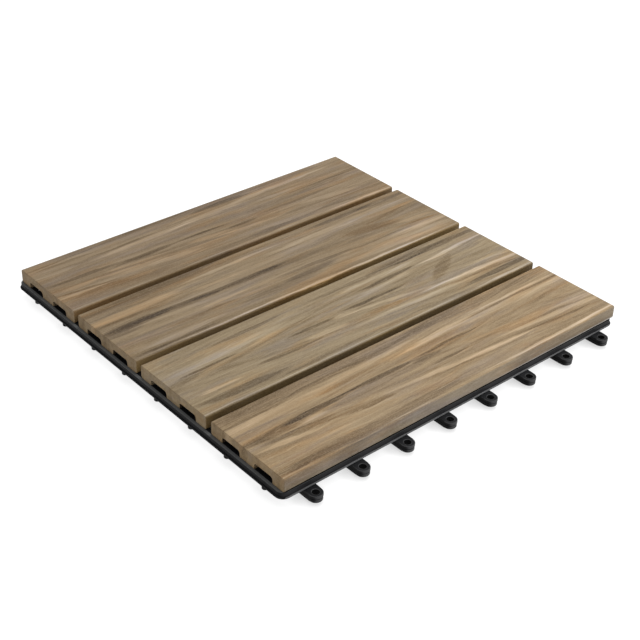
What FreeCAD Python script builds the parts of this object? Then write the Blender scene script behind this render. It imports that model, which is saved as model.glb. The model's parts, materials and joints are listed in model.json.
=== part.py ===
import FreeCAD, Part
import math
import os

V = FreeCAD.Vector

# Sizes of the tile, in millimetres

tile_pitch = 300.0
slat_count = 4
slat_gap = 5.0
slat_height = 10.0
slat_top_edge_radius = 1.2
slat_bottom_edge_radius = 1.8

groove_width = 17.0
groove_height = 4.4
groove_corner_radius = 2.0
centre_web_width = 14.0

base_height = 12.0
flange_joint_gap = 1.0
flange_height = 1.1
flange_corner_radius = 6.0
collar_ledge = 1.1
rim_offset_to_peg_sides = 1.0
rim_underside = 7.5

eyelet_count = 8
eyelet_spacing = 36.8
eyelet_reach = 4.0
eyelet_bore_radius = 2.45
eyelet_wall = 2.25
eyelet_bottom = 2.3
eyelet_under_rim_clearance = 0.2
eyelet_lip_height = 2.0
eyelet_lip_groove_height = 0.6
eyelet_lip_groove_depth = 0.6

peg_clearance = 0.25
peg_drop = 4.5
peg_tip_radius = 0.5
peg_wall_margin = 0.1

rib_thickness = 1.8
rib_bottom = 3.0
cells_per_eyelet = 2
skirt_clearance = 3.0
foot_radius = 3.2

screw_rows_per_slat = 4
screw_radius = 2.0
screw_tip_length = 2.0
screw_depth_in_slat = 6.5
screw_head_radius = 3.5
screw_head_height = 2.2
screw_head_edge_radius = 0.7
screw_recess_width = 0.9
screw_recess_span = 3.8
screw_recess_depth = 1.2
screw_hole_clearance = 0.25
pilot_hole_clearance = 0.05
pilot_hole_spare_depth = 0.5
screw_seat_height = 5.0
counterbore_clearance = 0.3
boss_wall = 1.2
boss_bottom = 2.0

# Sizes that follow from those above

slat_pitch = tile_pitch / slat_count
slat_width = slat_pitch - slat_gap
slat_length = tile_pitch - slat_gap
slat_top = base_height + slat_height
groove_offset = (centre_web_width + groove_width) / 2
slat_centres = [(i - (slat_count - 1) / 2) * slat_pitch for i in range(slat_count - 1, -1, -1)]

flange_half = (tile_pitch - flange_joint_gap) / 2
collar_half = slat_length / 2 + collar_ledge
collar_corner_radius = flange_corner_radius - (flange_half - collar_half)

eyelet_outer_radius = eyelet_bore_radius + eyelet_wall
eyelet_centre = flange_half + eyelet_reach
eyelet_top = rim_underside - eyelet_under_rim_clearance
eyelet_positions = [(i - (eyelet_count - 1) / 2) * eyelet_spacing for i in range(eyelet_count)]

peg_radius = eyelet_bore_radius - peg_clearance
peg_centre = tile_pitch - eyelet_centre
collar_inner_half = peg_centre - peg_radius - peg_wall_margin

cell_pitch = eyelet_spacing / cells_per_eyelet
neighbour_eyelet_tip = tile_pitch - eyelet_centre - eyelet_outer_radius
skirt_outer_half = neighbour_eyelet_tip - skirt_clearance
skirt_line = skirt_outer_half - rib_thickness / 2
rib_count_each_way = int((skirt_line - rib_thickness - 2) // cell_pitch)
rib_lines = [i * cell_pitch for i in range(-rib_count_each_way, rib_count_each_way + 1)]

screw_hole_radius = screw_radius + screw_hole_clearance
pilot_radius = screw_radius + pilot_hole_clearance
pilot_depth = screw_depth_in_slat + pilot_hole_spare_depth
counterbore_radius = screw_head_radius + counterbore_clearance
boss_radius = counterbore_radius + boss_wall
screw_spacing = 2 * eyelet_spacing
screw_rows = [(i - (screw_rows_per_slat - 1) / 2) * screw_spacing for i in range(screw_rows_per_slat)]


# Helpers

def cylinder(radius, x, y, z_low, z_high):
    return Part.makeCylinder(radius, z_high - z_low, V(x, y, z_low))


def block(x_low, x_high, y_low, y_high, z_low, z_high):
    return Part.makeBox(x_high - x_low, y_high - y_low, z_high - z_low, V(x_low, y_low, z_low))


def rounded_outline(points, radii):
    """A closed wire through the points, with each corner rounded to its own radius."""
    starts, ends, middles = [], [], []
    for i, corner in enumerate(points):
        before = (points[i - 1] - corner).normalize()
        after = (points[(i + 1) % len(points)] - corner).normalize()
        half_angle = before.getAngle(after) / 2
        run = radii[i] / math.tan(half_angle)
        centre_way = (before + after).normalize()
        starts.append(corner + before * run)
        ends.append(corner + after * run)
        middles.append(corner + centre_way * (radii[i] / math.sin(half_angle) - radii[i]))
    edges = []
    for i in range(len(points)):
        if radii[i] > 0:
            edges.append(Part.Arc(starts[i], middles[i], ends[i]).toShape())
        edges.append(Part.LineSegment(ends[i], starts[(i + 1) % len(points)]).toShape())
    return Part.Wire(edges)


def square_outline(half, radius, z):
    corners = [V(half, half, z), V(-half, half, z), V(-half, -half, z), V(half, -half, z)]
    return rounded_outline(corners, [radius] * 4)


def rim_outline(half, radius, z):
    """A square that reaches further out on the two sides with pegs, -X and +Y, than on the two with eyelets."""
    outline = square_outline(half, radius, z)
    outline.translate(V(-rim_offset_to_peg_sides, rim_offset_to_peg_sides, 0))
    return outline


def quarter_turned(shapes):
    """Copies of the shapes, turned a quarter turn about the tile's centre."""
    copies = [s.copy() for s in shapes]
    for s in copies:
        s.rotate(V(0, 0, 0), V(0, 0, 1), 90)
    return copies


# Slats

def slat(centre_y):
    half = slat_width / 2
    low = base_height
    ceiling = base_height + groove_height
    points, radii = [], []

    def corner(y, z, radius):
        points.append(V(-slat_length / 2, centre_y + y, z))
        radii.append(radius)

    corner(-half, low, slat_bottom_edge_radius)
    for side in (-1, 1):
        groove_low = side * groove_offset - groove_width / 2
        groove_high = side * groove_offset + groove_width / 2
        corner(groove_low, low, 0)
        corner(groove_low, ceiling, groove_corner_radius)
        corner(groove_high, ceiling, groove_corner_radius)
        corner(groove_high, low, 0)
    corner(half, low, slat_bottom_edge_radius)
    corner(half, slat_top, slat_top_edge_radius)
    corner(-half, slat_top, slat_top_edge_radius)
    board = Part.Face(rounded_outline(points, radii)).extrude(V(slat_length, 0, 0))
    pilots = [cylinder(pilot_radius, x, centre_y, low - 1, low + pilot_depth) for x in screw_rows]
    return board.cut(pilots)


# Base

def open_cells(edges, z):
    """Wires of the open cells for every pair of (low, high) edges, wound clockwise so that they count as holes."""
    wires = []
    for x_low, x_high in edges:
        for y_low, y_high in edges:
            corners = [V(x_low, y_low, z), V(x_low, y_high, z), V(x_high, y_high, z), V(x_high, y_low, z)]
            wires.append(Part.makePolygon(corners + corners[:1]))
    return wires


def lattice():
    """Perimeter collar, skirt and crossing ribs. Outside the skirt the ribs stay above the rim's underside."""
    lines = [-skirt_line] + rib_lines + [skirt_line]
    half_rib = rib_thickness / 2
    inner = [(a + half_rib, b - half_rib) for a, b in zip(lines, lines[1:])]
    margin = (skirt_outer_half, collar_inner_half)
    outer = [(-margin[1], -margin[0])] + inner + [margin]
    upper_wires = [rim_outline(collar_half, collar_corner_radius, rim_underside)]
    upper_wires += open_cells(outer, rim_underside)
    upper = Part.Face(upper_wires).extrude(V(0, 0, base_height - rim_underside))
    lower_wires = [square_outline(skirt_outer_half, 0, rib_bottom)]
    lower_wires += open_cells(inner, rib_bottom)
    lower = Part.Face(lower_wires).extrude(V(0, 0, rim_underside - rib_bottom))
    return upper, lower


def flange():
    """A thin lip along the foot of the collar."""
    inside_half = (collar_half + collar_inner_half) / 2
    outside = Part.Face(rim_outline(flange_half, flange_corner_radius, rim_underside))
    inside = Part.Face(rim_outline(inside_half, collar_corner_radius, rim_underside))
    upwards = V(0, 0, flange_height)
    return outside.extrude(upwards).cut(inside.extrude(upwards))


def eyelet_layer(x, half_width, z_low, z_high):
    tongue = block(x - half_width, x + half_width, -eyelet_centre, -skirt_line, z_low, z_high)
    return [tongue, cylinder(half_width, x, -eyelet_centre, z_low, z_high)]


def near_eyelets():
    """Tongues with rounded ends along the -Y side. A shallow groove sets off the lip round each one's top."""
    lip_bottom = eyelet_top - eyelet_lip_height
    groove_bottom = lip_bottom - eyelet_lip_groove_height
    groove_half_width = eyelet_outer_radius - eyelet_lip_groove_depth
    shapes = []
    for x in eyelet_positions:
        shapes += eyelet_layer(x, eyelet_outer_radius, lip_bottom, eyelet_top)
        shapes += eyelet_layer(x, groove_half_width, groove_bottom, lip_bottom)
        shapes += eyelet_layer(x, eyelet_outer_radius - eyelet_lip_groove_depth / 3, eyelet_bottom, groove_bottom)
        root_edge = rim_offset_to_peg_sides - collar_half
        shapes.append(block(x - groove_half_width, x + groove_half_width, root_edge, -skirt_line,
                            eyelet_bottom, rim_underside))
    return shapes


def near_eyelet_bores():
    return [
        cylinder(eyelet_bore_radius, x, -eyelet_centre, eyelet_bottom - 1, eyelet_top + 1)
        for x in eyelet_positions
    ]


def far_pegs():
    """Pegs under the +Y rim, where they drop into the eyelets of the next tile."""
    shapes = []
    for x in eyelet_positions:
        peg = cylinder(peg_radius, x, peg_centre, rim_underside - peg_drop, rim_underside)
        tip_edge = [e for e in peg.Edges if e.Closed and e.BoundBox.ZMax < rim_underside - peg_drop + 0.01]
        shapes.append(peg.makeFillet(peg_tip_radius, tip_edge))
    return shapes


def feet():
    crossings = rib_lines[(rib_count_each_way + 1) % 2::2]
    shapes = [cylinder(foot_radius, x, y, 0, base_height) for x in crossings for y in crossings]
    shapes.append(cylinder(foot_radius, 0, 0, 0, base_height))
    return shapes


def screw_places():
    return [(x, y) for y in slat_centres for x in screw_rows]


def base_grid():
    upper, lower = lattice()
    bosses = [cylinder(boss_radius, x, y, boss_bottom, base_height) for x, y in screw_places()]
    eyelets = near_eyelets()
    pegs = far_pegs()
    pieces = [lower, flange()] + feet() + bosses
    pieces += eyelets + quarter_turned(eyelets) + pegs + quarter_turned(pegs)
    body = upper.multiFuse(pieces).removeSplitter()
    bores = near_eyelet_bores()
    cuts = bores + quarter_turned(bores)
    for x, y in screw_places():
        cuts.append(cylinder(counterbore_radius, x, y, boss_bottom - 1, screw_seat_height))
        cuts.append(cylinder(screw_hole_radius, x, y, screw_seat_height - 1, base_height + 1))
    return body.cut(cuts)


# Screws

def screw(x, y):
    """A pan-head self-tapping screw, head down. Its thread is modelled as a plain shank."""
    head = cylinder(screw_head_radius, x, y, screw_seat_height - screw_head_height, screw_seat_height)
    head_edge = [e for e in head.Edges if e.Closed and e.BoundBox.ZMax < screw_seat_height - 1]
    head = head.makeFillet(screw_head_edge_radius, head_edge)
    tip_end = base_height + screw_depth_in_slat
    tip_start = tip_end - screw_tip_length
    shank = cylinder(screw_radius, x, y, screw_seat_height, tip_start)
    tip = Part.makeCone(screw_radius, screw_radius / 4, screw_tip_length, V(x, y, tip_start))
    body = head.multiFuse([shank, tip]).removeSplitter()
    recess_bottom = screw_seat_height - screw_head_height
    for half_x, half_y in ((screw_recess_span / 2, screw_recess_width / 2),
                           (screw_recess_width / 2, screw_recess_span / 2)):
        slot = block(x - half_x, x + half_x, y - half_y, y + half_y,
                     recess_bottom - 1, recess_bottom + screw_recess_depth)
        body = body.cut(slot)
    return body


# Nodes

os.makedirs("parts", exist_ok=True)


def save(name, shape):
    solids = shape.Solids
    if len(solids) != 1 or not shape.isValid():
        raise ValueError(name + " is not one valid solid")
    solids[0].exportStep("parts/" + name + ".step")


save("base_grid", base_grid())
for i, centre_y in enumerate(slat_centres, 1):
    save("slat_" + str(i), slat(centre_y))
    for j, x in enumerate(screw_rows, 1):
        save("screw_" + str(i) + "_" + str(j), screw(x, centre_y))
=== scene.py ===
import json
import math
import bmesh
import bpy
from mathutils import Matrix, Vector


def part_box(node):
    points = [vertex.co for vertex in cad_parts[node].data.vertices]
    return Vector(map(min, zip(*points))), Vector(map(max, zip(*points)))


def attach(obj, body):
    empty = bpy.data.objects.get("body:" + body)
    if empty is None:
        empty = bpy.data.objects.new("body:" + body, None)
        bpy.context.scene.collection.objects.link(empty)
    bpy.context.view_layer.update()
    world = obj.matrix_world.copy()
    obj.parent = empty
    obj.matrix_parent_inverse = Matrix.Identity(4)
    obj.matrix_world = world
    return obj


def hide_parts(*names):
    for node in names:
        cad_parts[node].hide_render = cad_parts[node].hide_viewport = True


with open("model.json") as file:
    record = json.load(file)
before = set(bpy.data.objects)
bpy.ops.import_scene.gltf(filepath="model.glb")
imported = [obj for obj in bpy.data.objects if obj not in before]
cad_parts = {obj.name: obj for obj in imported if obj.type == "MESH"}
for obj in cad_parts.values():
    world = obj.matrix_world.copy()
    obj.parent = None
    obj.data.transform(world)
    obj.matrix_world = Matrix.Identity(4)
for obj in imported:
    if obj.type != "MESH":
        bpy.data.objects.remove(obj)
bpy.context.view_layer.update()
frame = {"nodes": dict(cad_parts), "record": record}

scene = bpy.context.scene
scene.view_settings.view_transform = "Standard"
screws = [f"screw_{row}_{place}" for row in range(1, 5) for place in range(1, 5)]
mm = 0.001

slat_low, slat_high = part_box("slat_1")
slat_underside, slat_top, slat_end = slat_low.z, slat_high.z, slat_high.x
half_slat = (slat_high.y - slat_low.y) / 2


# Camera

def aim_camera():
    """Stands at the tile's near left corner and looks down along its diagonal."""
    azimuth, elevation = math.radians(-41.394), math.radians(33.254)
    target = Vector((-0.02389, -0.03395, 0.022))
    distance = 0.88921
    tilt = math.radians(1.621)
    back = Vector((math.sin(azimuth) * math.cos(elevation),
                   -math.cos(azimuth) * math.cos(elevation), math.sin(elevation)))
    level_right = Vector((math.cos(azimuth), math.sin(azimuth), 0))
    level_up = back.cross(level_right)
    right = math.cos(tilt) * level_right + math.sin(tilt) * level_up
    up = back.cross(right)
    camera = bpy.data.objects.new("camera", bpy.data.cameras.new("camera"))
    scene.collection.objects.link(camera)
    turn = Matrix((right, up, back)).transposed().to_4x4()
    camera.matrix_world = Matrix.Translation(target + back * distance) @ turn
    camera.data.lens = 74.184
    camera.data.sensor_width = 36
    camera.data.clip_start = 0.01
    scene.camera = camera


# Materials

def colour(red, green, blue):
    """A colour given as it looks on a screen, 0 to 255, as the linear values that a shader takes."""
    def linear(value):
        value /= 255
        return value / 12.92 if value <= 0.04045 else ((value + 0.055) / 1.055) ** 2.4
    return linear(red), linear(green), linear(blue), 1


class Finish:
    """A new material and short ways to add its nodes."""

    def __init__(self, name):
        self.material = bpy.data.materials.new(name)
        self.material.use_nodes = True
        self.tree = self.material.node_tree
        self.shader = self.tree.nodes["Principled BSDF"]
        self.place = self.add("ShaderNodeTexCoord").outputs["Object"]

    def add(self, kind, **settings):
        node = self.tree.nodes.new(kind)
        for key, value in settings.items():
            setattr(node, key, value)
        return node

    def feed(self, socket, value):
        if isinstance(value, bpy.types.NodeSocket):
            self.tree.links.new(value, socket)
        else:
            socket.default_value = value

    def reckon(self, operation, *values):
        node = self.add("ShaderNodeMath", operation=operation)
        for socket, value in zip(node.inputs, values):
            self.feed(socket, value)
        return node.outputs[0]

    def plus(self, first, second):
        return self.reckon("ADD", first, second)

    def minus(self, first, second):
        return self.reckon("SUBTRACT", first, second)

    def times(self, first, *others):
        for other in others:
            first = self.reckon("MULTIPLY", first, other)
        return first

    def size_of(self, value):
        return self.reckon("ABSOLUTE", value)

    def larger(self, first, second):
        return self.reckon("MAXIMUM", first, second)

    def parts(self, vector):
        node = self.add("ShaderNodeSeparateXYZ")
        self.feed(node.inputs[0], vector)
        return node.outputs

    def joined(self, x, y, z):
        node = self.add("ShaderNodeCombineXYZ")
        for socket, value in zip(node.inputs, (x, y, z)):
            self.feed(socket, value)
        return node.outputs[0]

    def moved(self, vector, shift=(0, 0, 0), stretch=(1, 1, 1)):
        node = self.add("ShaderNodeMapping")
        self.feed(node.inputs["Vector"], vector)
        self.feed(node.inputs["Location"], shift)
        self.feed(node.inputs["Scale"], stretch)
        return node.outputs[0]

    def drawn_out(self, vector, slimness, shift=0):
        """Makes a pattern's spots this many times as long, along X, as they are wide."""
        return self.moved(vector, shift=(shift, 0, 0), stretch=(1, slimness, slimness))

    def noise(self, vector, scale, detail, roughness):
        node = self.add("ShaderNodeTexNoise")
        for key, value in (("Vector", vector), ("Scale", scale), ("Detail", detail),
                           ("Roughness", roughness)):
            self.feed(node.inputs[key], value)
        return node.outputs["Fac"]

    def line_noise(self, position, scale, detail, roughness):
        """Noise along one number, for bands that follow a figure."""
        node = self.add("ShaderNodeTexNoise", noise_dimensions="1D")
        for key, value in (("W", position), ("Scale", scale), ("Detail", detail), ("Roughness", roughness)):
            self.feed(node.inputs[key], value)
        return node.outputs["Fac"]

    def spread(self, value, low, high, new_low=0.0, new_high=1.0, smooth=True):
        """The value from low to high, spread over new_low to new_high."""
        node = self.add("ShaderNodeMapRange", interpolation_type="SMOOTHSTEP" if smooth else "LINEAR")
        for key, number in (("Value", value), ("From Min", low), ("From Max", high),
                            ("To Min", new_low), ("To Max", new_high)):
            self.feed(node.inputs[key], number)
        return node.outputs[0]

    def band(self, value, start, full, fading, end):
        """1 where the value is from full to fading, and 0 before start and past end."""
        return self.times(self.spread(value, start, full), self.spread(value, fading, end, 1.0, 0.0))

    def blend(self, share, first, second, kind="MIX"):
        node = self.add("ShaderNodeMix", data_type="RGBA", blend_type=kind)
        self.feed(node.inputs[0], share)
        self.feed(node.inputs[6], first)
        self.feed(node.inputs[7], second)
        return node.outputs[2]

    def tinted(self, body, tint):
        return self.blend(1.0, body, tint, "MULTIPLY")

    def spindle(self, vector, middle, half_length, half_width, turn):
        """A long soft mark: 1 at its middle, 0 from its ends and sides on. The turn is in degrees."""
        node = self.add("ShaderNodeMapping", vector_type="TEXTURE")
        self.feed(node.inputs["Vector"], vector)
        self.feed(node.inputs["Location"], (*middle, 0))
        self.feed(node.inputs["Rotation"], (0, 0, math.radians(turn)))
        self.feed(node.inputs["Scale"], (half_length, half_width, 1))
        shape = self.add("ShaderNodeTexGradient", gradient_type="SPHERICAL")
        self.feed(shape.inputs[0], node.outputs[0])
        return shape.outputs["Fac"]

    def ramp(self, value, stops):
        node = self.add("ShaderNodeValToRGB")
        points = node.color_ramp.elements
        while len(points) < len(stops):
            points.new(0.5)
        for point, (position, shade) in zip(points, stops):
            point.position = position
            point.color = shade
        self.feed(node.inputs[0], value)
        return node.outputs[0]

    def relief(self, height, depth, strength):
        node = self.add("ShaderNodeBump")
        self.feed(node.inputs["Height"], height)
        self.feed(node.inputs["Distance"], depth)
        self.feed(node.inputs["Strength"], strength)
        return node.outputs[0]

    def coat(self, **values):
        """Sets the shader's own sockets, or links nodes to them."""
        for key, value in values.items():
            self.feed(self.shader.inputs[key.replace("_", " ")], value)
        return self.material


composite_shades = (
    (0.0, colour(66, 50, 32)),
    (0.18, colour(98, 80, 56)),
    (0.38, colour(128, 109, 82)),
    (0.55, colour(150, 131, 103)),
    (0.72, colour(170, 151, 124)),
    (0.87, colour(188, 169, 145)),
    (1.0, colour(207, 191, 170)),
)
warm_tint = (1.15, 0.965, 0.74, 1)
cool_tint = (0.89, 0.945, 1.20, 1)
dark_hair, pale_hair = colour(84, 70, 52), colour(208, 188, 156)
pale_speck = colour(214, 196, 166)
# A painted highlight for the near top edge, and painted light bounced up from the floor for the near side's
# foot
painted_edge_highlight, painted_floor_bounce = colour(214, 202, 184), colour(200, 192, 180)
sawn_dark, sawn_pale = colour(125, 104, 74), colour(154, 132, 99)
mark_warmth = 0.55


def wood_composite(name, centre_y, start, log, contrast, tint, painted_side_light, marks):
    """Brown-grey wood composite, streaked along the slat, with faint growth rings, the slat's own marks and
    painted highlights along its near top edge.
    The sides are tinted as painted light, darker as painted shade in the gaps, and the cut ends show some of
    the sawn wood."""
    f = Finish(name)
    x, y, z = f.parts(f.place)
    own_y = f.minus(y, centre_y)
    place = f.moved(f.place, shift=(start, -centre_y, 0))
    slow_sway = sway(f, f.drawn_out(place, 4), 6, 2, 0.5, 0.005)
    fine_sway = sway(f, f.drawn_out(place, 8), 26, 4, 0.6, 0.0022)
    whole_sway = f.plus(slow_sway, fine_sway)
    along = f.parts(place)
    grain = f.joined(along[0], f.plus(along[1], whole_sway), along[2])

    ring = f.plus(log_ring(f, centre_y, whole_sway, **log), start)
    broad = f.line_noise(ring, 100, 1, 0.5)
    narrow = f.line_noise(f.plus(ring, 3.1), 420, 3, 0.65)
    streaks = f.noise(f.drawn_out(grain, 34), 9, 5, 0.68)
    patches = f.noise(f.drawn_out(grain, 5.5), 11, 2, 0.5)
    tone = 0.5
    for noise, share in ((broad, 0.14), (narrow, 0.19), (streaks, 0.33), (patches, 0.13)):
        tone = f.plus(tone, f.times(f.minus(noise, 0.5), share))
    mark_place = f.joined(x, f.plus(f.plus(own_y, f.times(slow_sway, 0.2)), fine_sway), 0)
    lighter, warmer = marks_and_edge_highlights(f, mark_place, ragged_edges(f, grain), marks, contrast)
    tone = f.plus(lighter, tone)
    body = f.ramp(f.spread(tone, 0.22, 0.80, smooth=False), composite_shades)

    warm = f.spread(f.noise(f.drawn_out(grain, 7, shift=4), 15, 4, 0.55), 0.46, 0.72, 0.0, 0.75)
    warm = f.plus(warm, warmer)
    body = f.blend(f.spread(warm, 0, 1, smooth=False), body, f.tinted(body, warm_tint))
    cool = f.spread(f.noise(f.drawn_out(grain, 9, shift=9), 14, 4, 0.55), 0.46, 0.72, 0.0, 0.9)
    cool = f.minus(cool, warmer)
    body = f.blend(f.spread(cool, 0, 1, smooth=False), body, f.tinted(body, cool_tint))
    hairs = f.noise(f.drawn_out(grain, 34), 42, 3, 0.62)
    body = f.blend(f.spread(hairs, 0.54, 0.72, 0.0, 0.30), body, dark_hair)
    body = f.blend(f.spread(hairs, 0.30, 0.44, 0.20, 0.0), body, pale_hair)
    specks = f.noise(f.drawn_out(place, 2.2), 900, 2, 0.6)
    body = f.blend(f.spread(specks, 0.40, 0.7, 0.0, 0.14), body, pale_speck)

    body = painted_edge_lines(f, body, place, x, own_y, z)
    body = f.tinted(body, tint)
    # The sides are tinted as painted light: darker as painted shade on the walls seen in the gaps, and cooler
    # on the last slat's open near side
    on_side = f.spread(f.size_of(own_y), half_slat - 0.0007, half_slat - 0.0001)
    body = f.blend(on_side, body, f.tinted(body, painted_side_light))
    sawn = f.blend(f.spread(f.noise(place, 330, 4, 0.6), 0.3, 0.7), sawn_dark, sawn_pale)
    on_end = f.spread(f.size_of(x), slat_end - 0.0005, slat_end - 0.0001, 0.0, 0.42)
    body = f.blend(on_end, body, sawn)

    brushed = f.noise(f.drawn_out(grain, 26), 62, 4, 0.65)
    height = f.plus(f.times(brushed, 0.75), f.times(specks, 0.25))
    return f.coat(Base_Color=body, Roughness=f.spread(tone, 0.3, 0.7, 0.68, 0.54, smooth=False),
                  Normal=f.relief(height, 0.00022, 0.8), Specular_IOR_Level=0.22)


def sway(f, place, scale, detail, roughness, reach):
    """How far the grain wanders to either side of a straight line, up to the reach."""
    return f.spread(f.noise(place, scale, detail, roughness), 0, 1, -reach, reach, smooth=False)


def log_ring(f, centre_y, whole_sway, heart_x, heart_y, depth, taper):
    """The growth ring at each place: how far it lies from the heart of a log that tapers along the slat.
    The heart is off the slat's middle by heart_x and heart_y, and lies at that depth under its face."""
    x, y, z = f.parts(f.moved(f.place, shift=(-heart_x, -centre_y - heart_y, depth - slat_top)))
    y = f.plus(y, whole_sway)
    from_heart = f.reckon("SQRT", f.plus(f.times(y, y), f.times(z, z)))
    return f.minus(from_heart, f.times(x, taper))


def ragged_edges(f, grain):
    """Makes the marks fray into fibres and fade in patches."""
    fibres = f.noise(f.drawn_out(grain, 36, shift=2), 15, 4, 0.68)
    cloudy = f.noise(f.drawn_out(grain, 5, shift=6), 24, 3, 0.55)
    return f.times(f.spread(fibres, 0.3, 0.68, 0.45, 1.55), f.spread(cloudy, 0.32, 0.68, 0.8, 1.15))


def marks_and_edge_highlights(f, place, ragged, marks, contrast):
    """How much lighter and how much warmer the slat's own marks, and the painted highlights among them, make
    each place.
    """
    lighter, warmer = 0, 0
    for x, y, length, width, turn, strength, warmth in marks:
        mark = f.spindle(place, (x * mm, y * mm), length * mm, width * mm, turn)
        mark = f.spread(f.times(mark, ragged), 0, 0.5)
        lighter = f.reckon("MULTIPLY_ADD", mark, strength * contrast, lighter)
        if warmth:
            warmer = f.reckon("MULTIPLY_ADD", mark, warmth * mark_warmth, warmer)
    return lighter, warmer


def painted_edge_lines(f, body, place, x, own_y, z):
    """Two pale lines along the slat's near side: a painted highlight on the top edge, in patches, and at the
    foot painted light bounced up from the floor, which comes up towards the right end."""
    edge = f.band(own_y, 0.0007 - half_slat, 0.0014 - half_slat, 0.0016 - half_slat, 0.0024 - half_slat)
    edge = f.times(edge, f.spread(z, slat_top - 0.0014, slat_top - 0.0008))
    in_patches = f.spread(f.noise(f.drawn_out(place, 3), 14, 3, 0.5), 0.4, 0.6, 0.0, 0.3)
    body = f.blend(f.times(edge, in_patches), body, painted_edge_highlight)
    # At the foot, painted light bounced up from the floor
    foot = f.band(z, slat_underside + 0.0004, slat_underside + 0.0009,
                  slat_underside + 0.0016, slat_underside + 0.0022)
    near_side = f.spread(own_y, 0.0007 - half_slat, 0.0014 - half_slat, 1.0, 0.0)
    towards_right_end = f.spread(x, 0.0, 0.06)
    return f.blend(f.times(foot, near_side, towards_right_end, 0.5), body, painted_floor_bounce)


def painted_groove_shade():
    """The board's uncapped inside, which shows in the grooves: dark brown as painted shade, with pale fibres.
    """
    f = Finish("wood_painted_groove_shade")
    cloud = f.noise(f.drawn_out(f.place, 6), 60, 4, 0.6)
    fibres = f.noise(f.drawn_out(f.place, 9), 260, 3, 0.6)
    body = f.blend(f.spread(cloud, 0.3, 0.7), colour(52, 42, 32), colour(74, 60, 45))
    body = f.blend(f.spread(fibres, 0.58, 0.72, 0.0, 0.5), body, colour(112, 94, 70))
    return f.coat(Base_Color=body, Roughness=f.spread(cloud, 0.3, 0.7, 0.85, 0.72, smooth=False),
                  Normal=f.relief(fibres, 0.00025, 0.8), Specular_IOR_Level=0.2)


# Where each of the base's painted lights fades in, measured out from the tile's middle or up from the floor
past_slats = (0.1472, 0.1476)
on_lip = (0.1477, 0.1479)
on_eyelets = (0.1487, 0.1490)
on_tips = (0.1560, 0.1580)
lip_height = (0.0073, 0.0075)
ledge_height = (0.0112, 0.0118)


def base_plastic():
    """Black moulded plastic with a faint orange-peel. What faces up past the slats is lighter as painted
    light, in cloudy patches, and the rim's ledge most of all, against the slats' shadow. Faces turned to the
    eyelet sides are a lighter grey as painted light, the lip on the eyelet sides carries a painted
    reflection, and the eyelets' rounded edges and their tips a painted highlight."""
    f = Finish("base_plastic")
    peel = f.noise(f.place, 900, 3, 0.6)
    cloud = f.spread(f.noise(f.place, 38, 4, 0.6), 0.3, 0.7, smooth=False)
    x, y, z = f.parts(f.place)
    facing = f.parts(f.add("ShaderNodeNewGeometry").outputs["Normal"])
    facing_up = f.spread(facing[2], 0.3, 0.95)
    facing_out = f.spread(f.larger(f.times(facing[1], -1), facing[0]), 0.4, 0.95)
    from_middle = f.larger(f.size_of(x), f.size_of(y))
    to_eyelet_sides = f.larger(f.times(y, -1), x)

    # Up-facing surfaces past the slats are lighter as painted light, and the ledge beside the slats gets
    # painted light against their shadow
    open_air = f.times(facing_up, f.spread(from_middle, *past_slats))
    top_painted_light = f.times(open_air, f.spread(cloud, 0, 1, 0.3, 0.8))
    ledge_painted_light = f.times(open_air, f.spread(z, *ledge_height, 0, 0.9))
    # Faces turned to the eyelet sides are a lighter grey as painted light from that side
    side_painted_light = f.times(facing_out, f.spread(cloud, 0, 1, 0.5, 1.0))
    # The eyelets' rounded edges and tips get a painted highlight
    rounded = f.band(facing[2], 0.2, 0.4, 0.88, 0.97)
    tip = f.times(facing_out, f.spread(to_eyelet_sides, *on_tips))
    eyelet_painted_highlight = f.times(f.larger(rounded, tip), f.spread(to_eyelet_sides, *on_eyelets), 0.75)
    # The lip on the eyelet sides gets a painted reflection, a light grey
    lip = f.times(f.spread(to_eyelet_sides, *on_lip), f.spread(z, *lip_height),
                  f.spread(cloud, 0, 1, 0.6, 1.0))
    body = f.blend(top_painted_light, colour(16, 16, 17), colour(48, 49, 51))
    body = f.blend(ledge_painted_light, body, colour(104, 105, 105))
    body = f.blend(side_painted_light, body, colour(52, 52, 53))
    body = f.blend(eyelet_painted_highlight, body, colour(86, 86, 87))
    body = f.blend(lip, body, colour(122, 122, 123))
    return f.coat(Base_Color=body, Roughness=f.spread(cloud, 0, 1, 0.48, 0.60, smooth=False),
                  Normal=f.relief(peel, 0.00006, 0.6), Specular_IOR_Level=0.08)


def bore_painted_shade():
    """The same plastic inside the eyelets' bores: matt and a little darker as painted shade, with drag marks
    down the wall.
    """
    f = Finish("bore_painted_shade")
    drag = f.noise(f.moved(f.place, stretch=(1, 1, 0.08)), 1400, 3, 0.6)
    body = f.blend(f.spread(drag, 0.35, 0.7), colour(13, 13, 13), colour(22, 22, 22))
    return f.coat(Base_Color=body, Roughness=f.spread(drag, 0.3, 0.7, 0.72, 0.6, smooth=False),
                  Normal=f.relief(drag, 0.00003, 0.5), Specular_IOR_Level=0.08)


def screw_steel():
    """Zinc-plated steel, a little clouded, with fine turning marks."""
    f = Finish("screw_steel")
    cloud = f.noise(f.place, 450, 4, 0.6)
    turning = f.noise(f.moved(f.place, stretch=(1, 1, 12)), 600, 2, 0.6)
    body = f.blend(f.spread(cloud, 0.35, 0.65), colour(176, 176, 170), colour(140, 139, 132))
    return f.coat(Base_Color=body, Roughness=f.spread(cloud, 0.3, 0.7, 0.26, 0.44, smooth=False),
                  Normal=f.relief(turning, 0.00003, 0.5), Metallic=1.0)


# Shared shaping

def round_edges(bm, edges, radius, segments, clamp=True):
    made = bmesh.ops.bevel(bm, geom=edges, offset=radius, segments=segments, profile=0.5,
                           affect="EDGES", offset_type="OFFSET", material=-1, clamp_overlap=clamp)
    for face in made["faces"]:
        face.smooth = True


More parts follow.
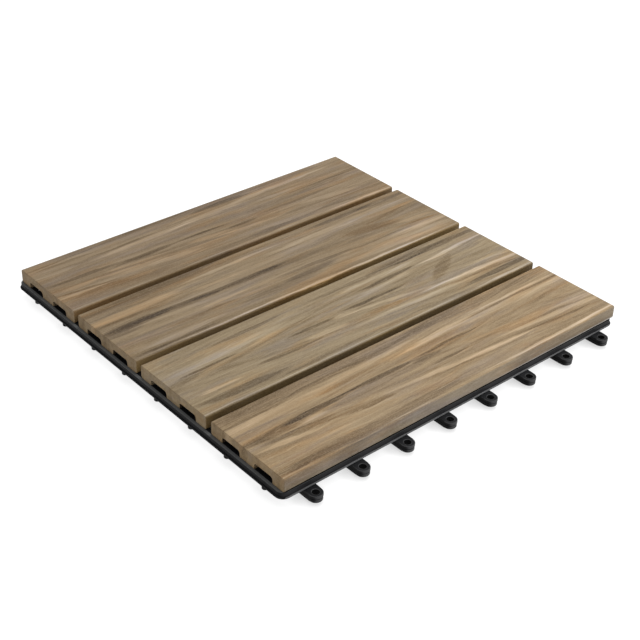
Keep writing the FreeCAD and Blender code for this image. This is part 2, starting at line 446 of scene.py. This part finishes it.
def finished(bm, name, *materials):
    """Makes a mesh object from the bmesh."""
    mesh = bpy.data.meshes.new(name)
    bm.to_mesh(mesh)
    bm.free()
    for material in materials:
        mesh.materials.append(material)
    piece = bpy.data.objects.new(name, mesh)
    scene.collection.objects.link(piece)
    return piece


# Slats

slat_edge = {"top": 0.0012, "underside": 0.0018, "groove": 0.002, "end": 0.00035}
groove_width, groove_height, centre_web = 0.017, 0.0044, 0.014
on_line = 0.00001


def slat_board(node, cap, groove_shade_finish):
    """A board with two grooves along its underside, its long edges rounded and its cut ends eased."""
    low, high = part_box(node)
    middle = (low.y + high.y) / 2
    length = high.x - low.x
    ceiling = low.z + groove_height
    near_groove = middle - centre_web / 2 - groove_width
    far_groove = middle + centre_web / 2
    outline = [(low.y, low.z)]
    for start in (near_groove, far_groove):
        end = start + groove_width
        outline += [(start, low.z), (start, ceiling), (end, ceiling), (end, low.z)]
    outline += [(high.y, low.z), (high.y, high.z), (low.y, high.z)]

    bm = bmesh.new()
    end_face = bm.faces.new([bm.verts.new((low.x, y, z)) for y, z in outline])
    grown = bmesh.ops.extrude_face_region(bm, geom=[end_face])["geom"]
    moving = [v for v in grown if isinstance(v, bmesh.types.BMVert)]
    bmesh.ops.translate(bm, verts=moving, vec=(length, 0, 0))
    bmesh.ops.recalc_face_normals(bm, faces=bm.faces)

    def lengthwise(edge):
        return abs(edge.verts[0].co.x - edge.verts[1].co.x) > length / 2

    def corners(height, ys):
        return [e for e in bm.edges if lengthwise(e) and abs(e.verts[0].co.z - height) < on_line
                and any(abs(e.verts[0].co.y - y) < on_line for y in ys)]

    groove_sides = [near_groove, near_groove + groove_width, far_groove, far_groove + groove_width]
    for key, edges in (("top", corners(high.z, (low.y, high.y))),
                       ("underside", corners(low.z, (low.y, high.y))),
                       ("groove", corners(ceiling, groove_sides))):
        round_edges(bm, edges, slat_edge[key], segments=5)
    for x in (low.x, high.x):
        rim = [e for e in bm.edges if all(abs(v.co.x - x) < on_line for v in e.verts)]
        round_edges(bm, rim, slat_edge["end"], segments=2)
    # The faces inside the grooves take the second finish, the painted groove shade
    for face in bm.faces:
        place = face.calc_center_median()
        in_groove = any(side < place.y < side + groove_width for side in (near_groove, far_groove))
        if in_groove and low.z < place.z <= ceiling and abs(face.normal.x) < 0.5:
            face.material_index = 1
    return finished(bm, node + "_board", cap, groove_shade_finish)


# Base

moulding_edge = 0.00035
rim_zone = 0.146
rim_heights = {"underside": 0.0075, "top of the lip": 0.0086, "top of the collar": 0.012}
bores = [mount for mount in frame["record"]["mounts"] if mount["kind"] == "bore"]
bore_wall = bores[0]["dims"]["r_mm"] * mm + 0.0001
eyelet_height = bores[0]["dims"]["length_mm"] * mm
eyelet_top = bores[0]["pos_m"][2] + eyelet_height / 2
eyelet_underside = eyelet_top - eyelet_height
# Distances in metres within which two points are one, or two heights are level
one_point, one_height = 0.000002, 0.00002
# Angles between two faces, in degrees: up to flat_bend they become one face, from slight_bend to
# round_bend they belong to a round wall, and past corner_bend they meet in a corner
flat_bend, slight_bend, round_bend, corner_bend = 0.6, 0.5, 20, 35


def from_bore(place):
    """How far a place lies from the nearest bore's axis."""
    return min(math.hypot(place.x - bore["pos_m"][0], place.y - bore["pos_m"][1]) for bore in bores)


def bend(edge):
    """The angle that an edge's two faces make, in degrees: 0 where they lie flat."""
    return math.degrees(edge.calc_face_angle(0))


def soft_edged_base(finish, bore_shade_finish):
    """The base as it leaves its mould, with the edges of its rim, eyelets and feet a little rounded."""
    bm = bmesh.new()
    bm.from_mesh(frame["nodes"]["base_grid"].data)
    bmesh.ops.remove_doubles(bm, verts=bm.verts, dist=one_point)
    bmesh.ops.dissolve_limit(bm, angle_limit=math.radians(flat_bend), verts=bm.verts, edges=bm.edges,
                             delimit=set())
    for face in bm.faces:
        face.smooth = False

    def corners(*heights):
        return [e for e in bm.edges if e.is_convex and bend(e) > corner_bend
                and any(all(abs(v.co.z - height) < one_height for v in e.verts) for height in heights)]

    def outermost(edges):
        return [e for e in edges if min(max(abs(v.co.x), abs(v.co.y)) for v in e.verts) > rim_zone]

    rim_and_feet = outermost(corners(*rim_heights.values())) + corners(0)
    round_edges(bm, rim_and_feet, moulding_edge, segments=2, clamp=False)
    eyelets = outermost(corners(eyelet_top, eyelet_underside))
    round_edges(bm, eyelets, moulding_edge, segments=2, clamp=False)
    shade_curves(bm)
    # The bores' walls take the second finish, darker as painted shade
    for face in bm.faces:
        if abs(face.normal.z) < 0.2 and from_bore(face.calc_center_median()) < bore_wall:
            face.material_index = 1
    piece = finished(bm, "soft_edged_base", finish, bore_shade_finish)
    piece.data.attributes.remove(piece.data.attributes["custom_normal"])
    return piece


def shade_curves(bm):
    """Shades round walls smoothly, and keeps a clean line where they meet a flat face or a rounded edge."""
    rounded = {face for face in bm.faces if face.smooth}
    walls = set()
    for edge in bm.edges:
        if slight_bend < bend(edge) < round_bend and not rounded.intersection(edge.link_faces):
            walls.update(edge.link_faces)
    for face in walls:
        face.smooth = True
    for edge in bm.edges:
        sides = [face in rounded for face in edge.link_faces]
        if any(sides) != all(sides) or (not any(sides) and bend(edge) > round_bend):
            edge.smooth = False


# Stage

floor_size, floor_drop = 4, 0.0001
# How far the shadow close to the tile reaches, and the floor's glow in its depth and away from it
crevice_reach, shaded_glow, open_glow = 0.009, 0.60, 0.925
room_level = 0.55


def floor_material():
    """White to the camera, with the tile's soft shadow kept, and darkest close under its rim and eyelets.
    From below it is clear, so the underside can be seen."""
    f = Finish("floor")
    f.tree.nodes.remove(f.shader)

    def diffuse(grey):
        node = f.add("ShaderNodeBsdfDiffuse")
        node.inputs["Color"].default_value = (grey, grey, grey, 1)
        return node.outputs[0]

    def mixed(share, first, second):
        node = f.add("ShaderNodeMixShader")
        for socket, value in zip(node.inputs, (share, first, second)):
            f.feed(socket, value)
        return node.outputs[0]

    crevice = f.add("ShaderNodeAmbientOcclusion", samples=8)
    crevice.inputs["Distance"].default_value = crevice_reach
    glow = f.add("ShaderNodeEmission")
    level = f.spread(crevice.outputs["AO"], 0.3, 0.85, shaded_glow, open_glow, smooth=False)
    f.feed(glow.inputs["Strength"], level)
    glowing = f.add("ShaderNodeAddShader")
    f.feed(glowing.inputs[0], diffuse(0.25))
    f.feed(glowing.inputs[1], glow.outputs[0])
    rays = f.add("ShaderNodeLightPath").outputs
    seen = f.plus(f.plus(rays["Is Camera Ray"], rays["Is Glossy Ray"]), rays["Is Transmission Ray"])
    from_above = mixed(f.reckon("MINIMUM", seen, 1.0), diffuse(0.8), glowing.outputs[0])
    from_below = f.add("ShaderNodeBsdfTransparent").outputs[0]
    whole = mixed(f.add("ShaderNodeNewGeometry").outputs["Backfacing"], from_above, from_below)
    f.feed(f.tree.nodes["Material Output"].inputs["Surface"], whole)
    return f.material


def lay_floor():
    bm = bmesh.new()
    bmesh.ops.create_grid(bm, x_segments=1, y_segments=1, size=floor_size)
    bmesh.ops.translate(bm, verts=bm.verts, vec=(0, 0, -floor_drop))
    finished(bm, "floor", floor_material())


def light_room():
    """Even light from all round, and white where the camera or a reflection sees past the floor."""
    world = bpy.data.worlds.new("room")
    scene.world = world
    world.use_nodes = True
    nodes, links = world.node_tree.nodes, world.node_tree.links
    background = nodes["Background"]
    background.inputs["Color"].default_value = (1, 1, 1, 1)
    path = nodes.new("ShaderNodeLightPath")
    seen = path.outputs["Is Camera Ray"]
    for kind in ("Is Glossy Ray", "Is Transmission Ray"):
        either = nodes.new("ShaderNodeMath")
        either.operation = "MAXIMUM"
        links.new(seen, either.inputs[0])
        links.new(path.outputs[kind], either.inputs[1])
        seen = either.outputs[0]
    level = nodes.new("ShaderNodeMapRange")
    level.inputs["To Min"].default_value = room_level
    level.inputs["To Max"].default_value = 1.0
    links.new(seen, level.inputs["Value"])
    links.new(level.outputs[0], background.inputs["Strength"])


def soft_light(name, place, size, watts):
    """A round lamp that shines at the tile's middle."""
    data = bpy.data.lights.new(name, "AREA")
    data.shape = "DISK"
    data.size = size
    data.energy = watts
    light = bpy.data.objects.new(name, data)
    scene.collection.objects.link(light)
    light.location = place
    light.rotation_euler = (-Vector(place)).to_track_quat("-Z", "Y").to_euler()


# Making

aim_camera()
lay_floor()
light_room()
soft_light("key", place=(0.62, 0.10, 1.05), size=0.7, watts=6.2)
soft_light("side", place=(0.75, -0.75, 0.85), size=0.5, watts=4.0)

# Each mark's middle, half length and half width in mm, turn in degrees, strength and warmth; the pale marks
# along the near top edge, at y near -33, are painted highlights
looks = {
    "slat_1": {
        "log": {"heart_x": -0.150, "heart_y": 0.004, "depth": 0.014, "taper": 0.035},
        "contrast": 1.12,
        "tint": (0.835, 0.81, 0.795, 1),
        "painted_side_light": (0.85, 0.76, 0.60, 1),
        "marks": [
            (0, 31, 150, 3.6, 0, -0.08, -0.5), (24, 27.5, 34, 3.6, 0, -0.15, -0.4),
            (-118, 24.5, 30, 1.6, 0, -0.08, 0), (-75, 20, 38, 1.6, 1, -0.10, 0),
            (-56, 15.8, 62, 3.2, 1.5, 0.16, 0.2), (4, 18, 46, 4.4, 2.5, 0.11, 0.1),
            (78, 23.8, 60, 2.6, 2.2, 0.15, 0), (-132, 15.4, 24, 2.2, 0, 0.08, -0.1),
            (125, 12, 34, 1.6, 0, 0.08, -0.1), (-115, 0.5, 40, 2.4, -1, -0.10, -0.2),
            (-68, -2.3, 34, 3, 1, -0.17, 0), (-16, -1.2, 30, 1.7, 0, -0.17, 0),
            (84, -4.4, 60, 1.8, 0, -0.10, 0), (17, -8, 17, 1.6, 0, -0.13, 0.1),
            (112, 8.2, 44, 1.4, 0, -0.08, 0), (-10, -10.5, 30, 3.5, -6, 0.08, 0.8),
            (-128, -9.5, 20, 3, 0, 0.06, 0.7), (-80, -13, 34, 4, -4, 0.06, 0.4),
            (15, -14.6, 40, 1.8, -3, 0.08, 0.5), (-126, -15.4, 32, 1.6, -5, -0.12, 0.5),
            (-131, -17.9, 27, 1.6, -1, 0.10, 0.3), (-118, -21.5, 34, 3, -2, -0.06, 0.5),
            (100, -14.6, 34, 3.4, -7, 0.08, 0), (20, -29.5, 58, 3, 0, -0.06, -0.2),
            (118, -26, 56, 5, 0, -0.08, 0), (-105, -27, 60, 5, 0, -0.04, 0.3),
            # The first mark on the next line is a painted highlight along the near top edge
            (120, -33.2, 48, 1.4, 0, 0.17, 0), (72, 12.4, 34, 2.4, 0, 0.10, -0.5),
            (-50, -18, 28, 3.4, -4, 0.09, 0.2), (-76, -7.4, 30, 1.8, -3, 0.09, 0.4),
        ],
    },
    "slat_2": {
        "log": {"heart_x": -0.250, "heart_y": 0.000, "depth": 0.012, "taper": 0.05},
        "contrast": 1.20,
        "tint": (0.86, 0.84, 0.81, 1),
        "painted_side_light": (0.96, 0.86, 0.60, 1),
        "marks": [
            (-90, 30, 95, 5, 1, -0.08, 0.1), (82, 29.4, 38, 3.2, 1, -0.13, -0.6),
            (128, 29, 36, 3.6, 0, -0.13, -0.6), (-115, 17, 52, 4.8, 1, 0.11, 0.9),
            (-30, 24, 60, 2, 2, 0.13, 0), (-50, 11, 34, 2, 0, 0.10, 0.5),
            (-118, 11, 34, 1.8, -1, -0.07, 0.7), (75, 19.5, 90, 3.4, 1, 0.10, 0),
            (-124, 2, 36, 5.2, 0, -0.19, -0.7), (-90, 1.2, 46, 3.8, -1, -0.15, -0.6),
            (-38, 1.9, 52, 3.6, 0, -0.13, -0.6), (15, 1, 40, 4.5, 0, -0.06, -0.2),
            (-138, -3.5, 22, 2.5, -3, -0.09, -0.7), (88, 1, 32, 6, -10, -0.06, 0.8),
            (108, 8.8, 28, 1.8, 6, -0.07, 0.8), (135, 13.6, 18, 2.6, 0, 0.02, 0.5),
            (125, -7.2, 24, 2.4, -6, 0.09, 0.5), (122, -12, 28, 2, -6, -0.07, 1.0),
            (122, -19, 40, 4.2, 0, 0.12, 0.4), (100, -26.5, 62, 4.6, 0, 0.10, 0),
            (22, -12.6, 52, 2, -2, -0.12, -0.3), (14, -19, 30, 3.6, 1, -0.11, -0.8),
            (-15, -23, 42, 4.5, 0, -0.05, -0.5), (85, -15, 36, 1.2, 0, -0.10, 0),
            (-58, -10, 26, 2.2, 0, 0.09, 0.5), (-80, -15.6, 36, 1.4, 0, -0.10, 0),
            (-105, -26.5, 45, 3, 0, 0.09, 0), (-112, -31.2, 45, 1.2, 0, -0.10, 0),
            # A painted highlight along the near top edge
            (0, -33.4, 160, 1.3, 0, 0.22, 0),
        ],
    },
    "slat_3": {
        "log": {"heart_x": -0.015, "heart_y": -0.001, "depth": 0.004, "taper": 0.115},
        "contrast": 1.10,
        "tint": (1.00, 1.02, 1.01, 1),
        "painted_side_light": (0.57, 0.49, 0.32, 1),
        "marks": [
            (100, 27.5, 70, 4.5, 0, -0.13, -0.5), (-70, 24.3, 42, 2, 1.5, -0.11, 0),
            (35, 25.3, 75, 2.6, 0, -0.12, -0.2), (-95, 14, 62, 5, 2, 0.09, 0),
            (45, 20.8, 48, 2, 0.5, 0.11, -0.1), (-115, 7.2, 28, 1.6, 0, -0.17, 0),
            (-138, 3, 20, 4, 0, -0.05, -0.3), (-65, 9.5, 22, 3, 4, 0.05, 0.6),
            (-34, -0.2, 26, 1.8, 0, -0.19, 0.1), (-6, -2, 16, 2.2, -6, 0.09, 0.3),
            (22, 1.6, 32, 1.9, -0.5, -0.18, -0.1), (48, 15.2, 34, 1.8, 1.5, -0.16, -0.1),
            (40, 10, 36, 3.4, 4, 0.09, 0), (90, 1.5, 24, 5.5, 30, -0.09, 0.3),
            (118, 17.3, 45, 2, 3.5, 0.19, 0.1), (125, 0, 28, 2, 0, -0.07, 0),
            (30, -7, 45, 2, -7, 0.13, 0.2), (105, -15.6, 62, 3, -3, 0.19, 0.2),
            (22, -12, 26, 3, -4, -0.02, 0.9), (50, -19.6, 66, 2.8, -2, 0.15, 0),
            (112, -20.8, 50, 1.2, -3.5, -0.10, 0.2), (130, -9.5, 30, 3, -3, 0.11, 0.2),
            (-120, -15.8, 20, 2, -3, 0.13, 0.4), (-62, -12.4, 32, 2.4, -2, -0.15, -0.2),
            (-28, -10.4, 22, 2.2, -4, 0.12, 0.3), (-110, -25, 42, 4, -2, -0.15, -0.2),
            (125, -26, 50, 2.6, 0.5, -0.16, -0.4), (0, -30.5, 130, 1.8, 0, -0.09, -0.3),
            # Both marks on the next line are painted highlights along the near top edge
            (-105, -33.5, 52, 1.2, 0, 0.10, 0), (128, -33.2, 50, 1.4, 0, 0.13, -0.2),
        ],
    },
    "slat_4": {
        "log": {"heart_x": -0.105, "heart_y": 0.001, "depth": 0.004, "taper": 0.10},
        "contrast": 1.02,
        "tint": (1.11, 1.07, 1.01, 1),
        "painted_side_light": (0.92, 1.015, 1.24, 1),
        "marks": [
            (-70, 30.5, 110, 7, 0, -0.10, -0.5), (80, 30, 90, 6, 0, -0.07, -0.3),
            (-95, 25.5, 80, 2.6, 0, -0.10, -0.1), (-135, 23, 45, 1.6, 0, -0.17, 0),
            (-115, 17.5, 70, 5.5, 0.5, 0.10, 0.4), (-40, 21.5, 60, 3, 1.6, 0.10, 0),
            (-50, 15.8, 36, 2, 2, -0.08, 0.6), (30, 17.4, 48, 3.2, 2, 0.15, 0.2),
            (105, 20.9, 60, 1.5, 0, 0.16, 0), (95, 14.6, 72, 3.4, 0.3, 0.12, 0.1),
            (100, 18.4, 70, 1.1, 0.3, -0.13, 0), (-36, 5.2, 36, 3, 0, -0.22, -0.4),
            (-88, 4.6, 34, 2.8, 1, -0.23, -0.3), (22, 7, 42, 1.6, 0.5, -0.21, -0.1),
            (-126, 2.4, 36, 4.8, 0, -0.14, -0.3), (-42, 0.5, 52, 4.5, 0, -0.05, -0.8),
            (-97, -0.2, 14, 2.6, -4, 0.10, -0.1), (-112, -5.5, 34, 3.4, -5, -0.13, 0),
            (-120, -9.5, 34, 1.8, -5, 0.13, 0.5), (-68, -11.4, 34, 2.2, -5, -0.12, 0.3),
            (2, 2.4, 15, 3.6, 0, -0.11, -0.3), (20, -15.4, 80, 2.4, -4.2, 0.12, 0.2),
            (45, -17.8, 44, 1.8, -3.5, 0.09, 0.2), (-60, -18, 75, 4.5, -2, 0.09, 0.1),
            (105, -15, 62, 3, -4.6, 0.15, 0.2), (108, -20.6, 42, 1.4, -4.5, -0.10, 0.3),
            (135, -12, 30, 3, -5, 0.10, 0.3), (15, -6.3, 18, 1.5, 0, -0.13, -0.1),
            # The second mark on the next line is a painted highlight along the near top edge
            (-70, -30, 105, 4.8, 0, -0.15, -0.5), (90, -32.8, 92, 1.5, 0, 0.23, 0.1),
        ],
    },
}
# Each slat's noise starts this far past the last one's, so no two have the same grain
noise_step = 1.37

groove_shade_finish = painted_groove_shade()
for number, (node, look) in enumerate(looks.items(), 1):
    low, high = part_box(node)
    wood = wood_composite(f"wood_composite_{number}", (low.y + high.y) / 2, number * noise_step, **look)
    board = slat_board(node, wood, groove_shade_finish)
    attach(board, "root")
    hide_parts(node)

base = soft_edged_base(base_plastic(), bore_painted_shade())
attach(base, "root")
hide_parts("base_grid")

steel = screw_steel()
for node in screws:
    frame["nodes"][node].data.materials.clear()
    frame["nodes"][node].data.materials.append(steel)
